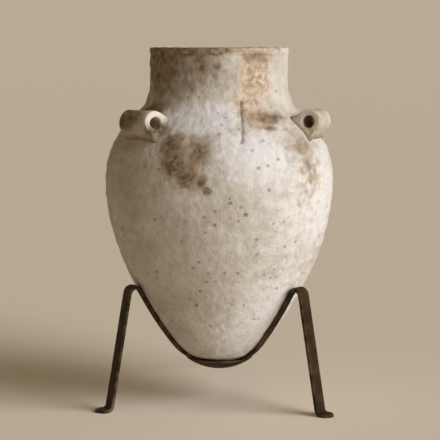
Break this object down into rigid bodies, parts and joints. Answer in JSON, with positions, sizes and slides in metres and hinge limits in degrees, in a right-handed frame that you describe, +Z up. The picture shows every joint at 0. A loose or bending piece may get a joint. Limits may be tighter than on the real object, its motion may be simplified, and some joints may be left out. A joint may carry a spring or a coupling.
{
  "type": "pithos on tripod stand",
  "caption": "Wide-necked ovoid storage jar of pale slipped terracotta with pierced lug handles, standing loose on its rounded point in a tripod of bent forged flat iron.",
  "frame": {"origin": "on the floor, under the jar's axis, between the three feet", "axes": "+Z up along the jar's axis, -Y towards the front, between the two front legs, +X to the right"},
  "size_m": [0.4402, 0.5496, 0.6705],
  "materials": {
    "slipped_terracotta": "matt, pale slip worn through to brown clay in patches",
    "handle_terracotta": "matt, rubbed slip over brown clay",
    "forged_iron": "dark waxed, hammered",
    "weld_iron": "dark, rippled bead"
  },
  "bodies": {
    "stand": {"left_bar": "forged_iron", "right_bar": "forged_iron", "rear_bar": "forged_iron", "hub_disc": "forged_iron", "hub_welds": "weld_iron"},
    "jar": {"base_cap": "slipped_terracotta", "lower_wall": "slipped_terracotta", "belly_wall": "slipped_terracotta", "shoulder_wall": "slipped_terracotta", "neck_wall": "slipped_terracotta", "rim_coil": "slipped_terracotta", "left_handle": "handle_terracotta", "right_handle": "handle_terracotta", "rear_handle": "handle_terracotta"}
  },
  "joints": [
    {"name": "jar_lift", "type": "slide", "parent": "stand", "child": "jar", "axis": [0, 0, 1], "range_m": [0, 0.18]}
  ]
}
